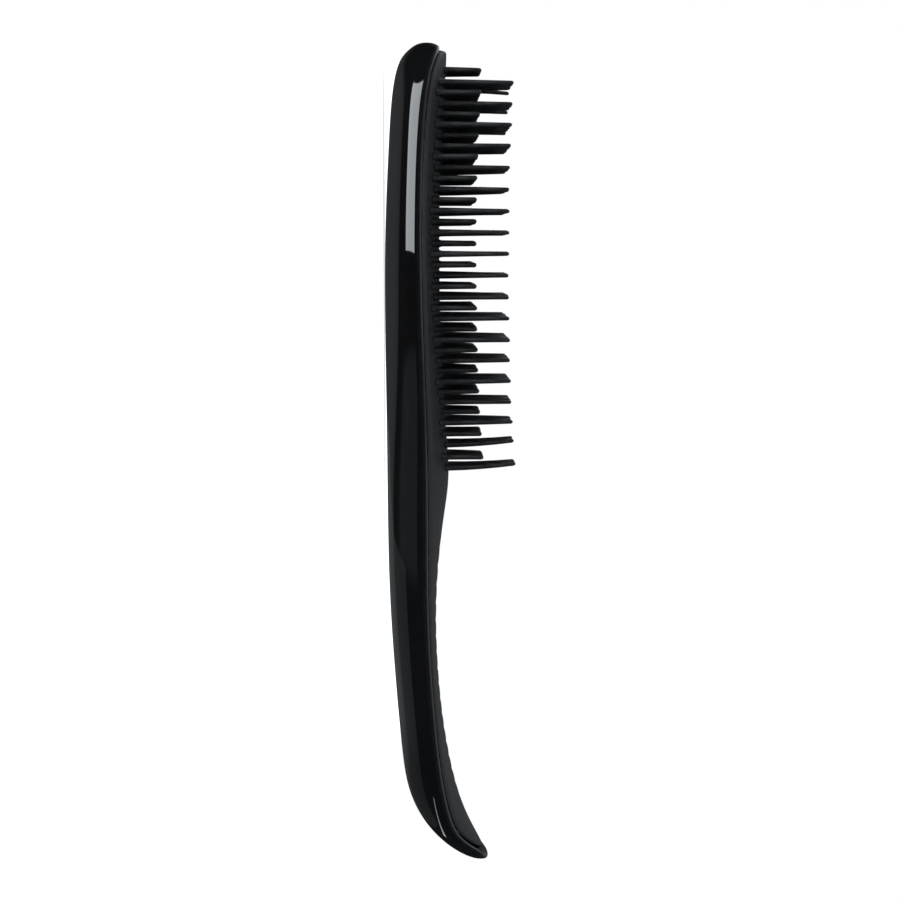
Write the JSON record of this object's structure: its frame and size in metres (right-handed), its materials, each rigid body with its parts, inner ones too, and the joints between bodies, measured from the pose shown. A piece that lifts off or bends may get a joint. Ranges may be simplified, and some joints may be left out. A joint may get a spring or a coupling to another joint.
{
  "type": "detangling brush",
  "caption": "Slim hand brush with a glossy back shell, a matte front panel and rows of long and short flexible teeth that bend as the brush is drawn through hair.",
  "frame": {"origin": "on the surface that the brush lies on, under the middle of its bounding box", "axes": "+X from the head to the tail along the handle, +Y across the head, +Z along the teeth"},
  "size_m": [0.225, 0.0662, 0.0357],
  "materials": {
    "gloss_shell": "polished black moulding",
    "matte_panel": "fine matte black moulding",
    "tooth_plastic": "satin black flexible plastic"
  },
  "bodies": {
    "brush_body": {"back_shell": "gloss_shell", "front_panel": "matte_panel"},
    "long_row_01": {"long_row_01": "tooth_plastic"},
    "long_row_02": {"long_row_02": "tooth_plastic"},
    "long_row_03": {"long_row_03": "tooth_plastic"},
    "long_row_04": {"long_row_04": "tooth_plastic"},
    "long_row_05": {"long_row_05": "tooth_plastic"},
    "long_row_06": {"long_row_06": "tooth_plastic"},
    "long_row_07": {"long_row_07": "tooth_plastic"},
    "long_row_08": {"long_row_08": "tooth_plastic"},
    "long_row_09": {"long_row_09": "tooth_plastic"},
    "long_row_10": {"long_row_10": "tooth_plastic"},
    "long_row_11": {"long_row_11": "tooth_plastic"},
    "long_row_12": {"long_row_12": "tooth_plastic"},
    "long_row_13": {"long_row_13": "tooth_plastic"},
    "long_row_14": {"long_row_14": "tooth_plastic"},
    "long_row_15": {"long_row_15": "tooth_plastic"},
    "long_row_16": {"long_row_16": "tooth_plastic"},
    "long_row_17": {"long_row_17": "tooth_plastic"},
    "long_row_18": {"long_row_18": "tooth_plastic"},
    "long_row_19": {"long_row_19": "tooth_plastic"},
    "short_row_01": {"short_row_01": "tooth_plastic"},
    "short_row_02": {"short_row_02": "tooth_plastic"},
    "short_row_03": {"short_row_03": "tooth_plastic"},
    "short_row_04": {"short_row_04": "tooth_plastic"},
    "short_row_05": {"short_row_05": "tooth_plastic"},
    "short_row_06": {"short_row_06": "tooth_plastic"},
    "short_row_07": {"short_row_07": "tooth_plastic"},
    "short_row_08": {"short_row_08": "tooth_plastic"},
    "short_row_09": {"short_row_09": "tooth_plastic"},
    "short_row_10": {"short_row_10": "tooth_plastic"},
    "short_row_11": {"short_row_11": "tooth_plastic"},
    "short_row_12": {"short_row_12": "tooth_plastic"},
    "short_row_13": {"short_row_13": "tooth_plastic"},
    "short_row_14": {"short_row_14": "tooth_plastic"},
    "short_row_15": {"short_row_15": "tooth_plastic"},
    "short_row_16": {"short_row_16": "tooth_plastic"},
    "short_row_17": {"short_row_17": "tooth_plastic"},
    "short_row_18": {"short_row_18": "tooth_plastic"},
    "short_row_19": {"short_row_19": "tooth_plastic"}
  },
  "joints": [
    {"name": "long_row_01_flex", "type": "hinge", "parent": "brush_body", "child": "long_row_01", "pos_m": [-0.1009, 0, 0.01642], "axis": [0, 1, 0], "range_deg": [-20, 20], "stiffness_Nm_per_rad": 0.028},
    {"name": "long_row_02_flex", "type": "hinge", "parent": "brush_body", "child": "long_row_02", "pos_m": [-0.09521, 0, 0.01611], "axis": [0, 1, 0], "range_deg": [-20, 20], "stiffness_Nm_per_rad": 0.028},
    {"name": "long_row_03_flex", "type": "hinge", "parent": "brush_body", "child": "long_row_03", "pos_m": [-0.08952, 0, 0.01579], "axis": [0, 1, 0], "range_deg": [-20, 20], "stiffness_Nm_per_rad": 0.036},
    {"name": "long_row_04_flex", "type": "hinge", "parent": "brush_body", "child": "long_row_04", "pos_m": [-0.08383, 0, 0.01548], "axis": [0, 1, 0], "range_deg": [-20, 20], "stiffness_Nm_per_rad": 0.036},
    {"name": "long_row_05_flex", "type": "hinge", "parent": "brush_body", "child": "long_row_05", "pos_m": [-0.07814, 0, 0.01522], "axis": [0, 1, 0], "range_deg": [-20, 20], "stiffness_Nm_per_rad": 0.036},
    {"name": "long_row_06_flex", "type": "hinge", "parent": "brush_body", "child": "long_row_06", "pos_m": [-0.07245, 0, 0.01505], "axis": [0, 1, 0], "range_deg": [-20, 20], "stiffness_Nm_per_rad": 0.036},
    {"name": "long_row_07_flex", "type": "hinge", "parent": "brush_body", "child": "long_row_07", "pos_m": [-0.06676, 0, 0.01495], "axis": [0, 1, 0], "range_deg": [-20, 20], "stiffness_Nm_per_rad": 0.044},
    {"name": "long_row_08_flex", "type": "hinge", "parent": "brush_body", "child": "long_row_08", "pos_m": [-0.06107, 0, 0.01489], "axis": [0, 1, 0], "range_deg": [-20, 20], "stiffness_Nm_per_rad": 0.044},
    {"name": "long_row_09_flex", "type": "hinge", "parent": "brush_body", "child": "long_row_09", "pos_m": [-0.05538, 0, 0.01488], "axis": [0, 1, 0], "range_deg": [-20, 20], "stiffness_Nm_per_rad": 0.044},
    {"name": "long_row_10_flex", "type": "hinge", "parent": "brush_body", "child": "long_row_10", "pos_m": [-0.04969, 0, 0.01492], "axis": [0, 1, 0], "range_deg": [-20, 20], "stiffness_Nm_per_rad": 0.036},
    {"name": "long_row_11_flex", "type": "hinge", "parent": "brush_body", "child": "long_row_11", "pos_m": [-0.044, 0, 0.01502], "axis": [0, 1, 0], "range_deg": [-20, 20], "stiffness_Nm_per_rad": 0.036},
    {"name": "long_row_12_flex", "type": "hinge", "parent": "brush_body", "child": "long_row_12", "pos_m": [-0.03831, 0, 0.01516], "axis": [0, 1, 0], "range_deg": [-20, 20], "stiffness_Nm_per_rad": 0.036},
    {"name": "long_row_13_flex", "type": "hinge", "parent": "brush_body", "child": "long_row_13", "pos_m": [-0.03262, 0, 0.01534], "axis": [0, 1, 0], "range_deg": [-20, 20], "stiffness_Nm_per_rad": 0.036},
    {"name": "long_row_14_flex", "type": "hinge", "parent": "brush_body", "child": "long_row_14", "pos_m": [-0.02693, 0, 0.01556], "axis": [0, 1, 0], "range_deg": [-20, 20], "stiffness_Nm_per_rad": 0.028},
    {"name": "long_row_15_flex", "type": "hinge", "parent": "brush_body", "child": "long_row_15", "pos_m": [-0.02124, 0, 0.01582], "axis": [0, 1, 0], "range_deg": [-20, 20], "stiffness_Nm_per_rad": 0.028},
    {"name": "long_row_16_flex", "type": "hinge", "parent": "brush_body", "child": "long_row_16", "pos_m": [-0.01555, 0, 0.01615], "axis": [0, 1, 0], "range_deg": [-20, 20], "stiffness_Nm_per_rad": 0.02},
    {"name": "long_row_17_flex", "type": "hinge", "parent": "brush_body", "child": "long_row_17", "pos_m": [-0.00986, 0, 0.01656], "axis": [0, 1, 0], "range_deg": [-20, 20], "stiffness_Nm_per_rad": 0.02},
    {"name": "long_row_18_flex", "type": "hinge", "parent": "brush_body", "child": "long_row_18", "pos_m": [-0.00351, 0, 0.01706], "axis": [0, 1, 0], "range_deg": [-20, 20], "stiffness_Nm_per_rad": 0.012},
    {"name": "long_row_19_flex", "type": "hinge", "parent": "brush_body", "child": "long_row_19", "pos_m": [0.00284, 0, 0.01757], "axis": [0, 1, 0], "range_deg": [-20, 20], "stiffness_Nm_per_rad": 0.012},
    {"name": "short_row_01_flex", "type": "hinge", "parent": "brush_body", "child": "short_row_01", "pos_m": [-0.1047, 0, 0.01665], "axis": [0, 1, 0], "range_deg": [-20, 20], "stiffness_Nm_per_rad": 0.012},
    {"name": "short_row_02_flex", "type": "hinge", "parent": "brush_body", "child": "short_row_02", "pos_m": [-0.09806, 0, 0.01627], "axis": [0, 1, 0], "range_deg": [-20, 20], "stiffness_Nm_per_rad": 0.024},
    {"name": "short_row_03_flex", "type": "hinge", "parent": "brush_body", "child": "short_row_03", "pos_m": [-0.09237, 0, 0.01595], "axis": [0, 1, 0], "range_deg": [-20, 20], "stiffness_Nm_per_rad": 0.024},
    {"name": "short_row_04_flex", "type": "hinge", "parent": "brush_body", "child": "short_row_04", "pos_m": [-0.08668, 0, 0.01563], "axis": [0, 1, 0], "range_deg": [-20, 20], "stiffness_Nm_per_rad": 0.024},
    {"name": "short_row_05_flex", "type": "hinge", "parent": "brush_body", "child": "short_row_05", "pos_m": [-0.08099, 0, 0.01535], "axis": [0, 1, 0], "range_deg": [-20, 20], "stiffness_Nm_per_rad": 0.03},
    {"name": "short_row_06_flex", "type": "hinge", "parent": "brush_body", "child": "short_row_06", "pos_m": [-0.0753, 0, 0.01512], "axis": [0, 1, 0], "range_deg": [-20, 20], "stiffness_Nm_per_rad": 0.03},
    {"name": "short_row_07_flex", "type": "hinge", "parent": "brush_body", "child": "short_row_07", "pos_m": [-0.06961, 0, 0.01499], "axis": [0, 1, 0], "range_deg": [-20, 20], "stiffness_Nm_per_rad": 0.03},
    {"name": "short_row_08_flex", "type": "hinge", "parent": "brush_body", "child": "short_row_08", "pos_m": [-0.06391, 0, 0.01492], "axis": [0, 1, 0], "range_deg": [-20, 20], "stiffness_Nm_per_rad": 0.03},
    {"name": "short_row_09_flex", "type": "hinge", "parent": "brush_body", "child": "short_row_09", "pos_m": [-0.05822, 0, 0.01488], "axis": [0, 1, 0], "range_deg": [-20, 20], "stiffness_Nm_per_rad": 0.03},
    {"name": "short_row_10_flex", "type": "hinge", "parent": "brush_body", "child": "short_row_10", "pos_m": [-0.05253, 0, 0.01489], "axis": [0, 1, 0], "range_deg": [-20, 20], "stiffness_Nm_per_rad": 0.03},
    {"name": "short_row_11_flex", "type": "hinge", "parent": "brush_body", "child": "short_row_11", "pos_m": [-0.04684, 0, 0.01496], "axis": [0, 1, 0], "range_deg": [-20, 20], "stiffness_Nm_per_rad": 0.03},
    {"name": "short_row_12_flex", "type": "hinge", "parent": "brush_body", "child": "short_row_12", "pos_m": [-0.04115, 0, 0.01508], "axis": [0, 1, 0], "range_deg": [-20, 20], "stiffness_Nm_per_rad": 0.03},
    {"name": "short_row_13_flex", "type": "hinge", "parent": "brush_body", "child": "short_row_13", "pos_m": [-0.03547, 0, 0.01525], "axis": [0, 1, 0], "range_deg": [-20, 20], "stiffness_Nm_per_rad": 0.024},
    {"name": "short_row_14_flex", "type": "hinge", "parent": "brush_body", "child": "short_row_14", "pos_m": [-0.02977, 0, 0.01545], "axis": [0, 1, 0], "range_deg": [-20, 20], "stiffness_Nm_per_rad": 0.024},
    {"name": "short_row_15_flex", "type": "hinge", "parent": "brush_body", "child": "short_row_15", "pos_m": [-0.02408, 0, 0.01568], "axis": [0, 1, 0], "range_deg": [-20, 20], "stiffness_Nm_per_rad": 0.018},
    {"name": "short_row_16_flex", "type": "hinge", "parent": "brush_body", "child": "short_row_16", "pos_m": [-0.0184, 0, 0.01598], "axis": [0, 1, 0], "range_deg": [-20, 20], "stiffness_Nm_per_rad": 0.018},
    {"name": "short_row_17_flex", "type": "hinge", "parent": "brush_body", "child": "short_row_17", "pos_m": [-0.0127, 0, 0.01634], "axis": [0, 1, 0], "range_deg": [-20, 20], "stiffness_Nm_per_rad": 0.012},
    {"name": "short_row_18_flex", "type": "hinge", "parent": "brush_body", "child": "short_row_18", "pos_m": [-0.00668, 0, 0.01681], "axis": [0, 1, 0], "range_deg": [-20, 20], "stiffness_Nm_per_rad": 0.012},
    {"name": "short_row_19_flex", "type": "hinge", "parent": "brush_body", "child": "short_row_19", "pos_m": [-0.00034, 0, 0.0173], "axis": [0, 1, 0], "range_deg": [-20, 20], "stiffness_Nm_per_rad": 0.012}
  ],
  "couplings": [
    {"joint": "long_row_01_flex", "follows": "long_row_09_flex", "ratio": 1},
    {"joint": "long_row_02_flex", "follows": "long_row_09_flex", "ratio": 1},
    {"joint": "long_row_03_flex", "follows": "long_row_09_flex", "ratio": 1},
    {"joint": "long_row_04_flex", "follows": "long_row_09_flex", "ratio": 1},
    {"joint": "long_row_05_flex", "follows": "long_row_09_flex", "ratio": 1},
    {"joint": "long_row_06_flex", "follows": "long_row_09_flex", "ratio": 1},
    {"joint": "long_row_07_flex", "follows": "long_row_09_flex", "ratio": 1},
    {"joint": "long_row_08_flex", "follows": "long_row_09_flex", "ratio": 1},
    {"joint": "long_row_10_flex", "follows": "long_row_09_flex", "ratio": 1},
    {"joint": "long_row_11_flex", "follows": "long_row_09_flex", "ratio": 1},
    {"joint": "long_row_12_flex", "follows": "long_row_09_flex", "ratio": 1},
    {"joint": "long_row_13_flex", "follows": "long_row_09_flex", "ratio": 1},
    {"joint": "long_row_14_flex", "follows": "long_row_09_flex", "ratio": 1},
    {"joint": "long_row_15_flex", "follows": "long_row_09_flex", "ratio": 1},
    {"joint": "long_row_16_flex", "follows": "long_row_09_flex", "ratio": 1},
    {"joint": "long_row_17_flex", "follows": "long_row_09_flex", "ratio": 1},
    {"joint": "long_row_18_flex", "follows": "long_row_09_flex", "ratio": 1},
    {"joint": "long_row_19_flex", "follows": "long_row_09_flex", "ratio": 1},
    {"joint": "short_row_01_flex", "follows": "short_row_09_flex", "ratio": 1},
    {"joint": "short_row_02_flex", "follows": "short_row_09_flex", "ratio": 1},
    {"joint": "short_row_03_flex", "follows": "short_row_09_flex", "ratio": 1},
    {"joint": "short_row_04_flex", "follows": "short_row_09_flex", "ratio": 1},
    {"joint": "short_row_05_flex", "follows": "short_row_09_flex", "ratio": 1},
    {"joint": "short_row_06_flex", "follows": "short_row_09_flex", "ratio": 1},
    {"joint": "short_row_07_flex", "follows": "short_row_09_flex", "ratio": 1},
    {"joint": "short_row_08_flex", "follows": "short_row_09_flex", "ratio": 1},
    {"joint": "short_row_10_flex", "follows": "short_row_09_flex", "ratio": 1},
    {"joint": "short_row_11_flex", "follows": "short_row_09_flex", "ratio": 1},
    {"joint": "short_row_12_flex", "follows": "short_row_09_flex", "ratio": 1},
    {"joint": "short_row_13_flex", "follows": "short_row_09_flex", "ratio": 1},
    {"joint": "short_row_14_flex", "follows": "short_row_09_flex", "ratio": 1},
    {"joint": "short_row_15_flex", "follows": "short_row_09_flex", "ratio": 1},
    {"joint": "short_row_16_flex", "follows": "short_row_09_flex", "ratio": 1},
    {"joint": "short_row_17_flex", "follows": "short_row_09_flex", "ratio": 1},
    {"joint": "short_row_18_flex", "follows": "short_row_09_flex", "ratio": 1},
    {"joint": "short_row_19_flex", "follows": "short_row_09_flex", "ratio": 1}
  ]
}
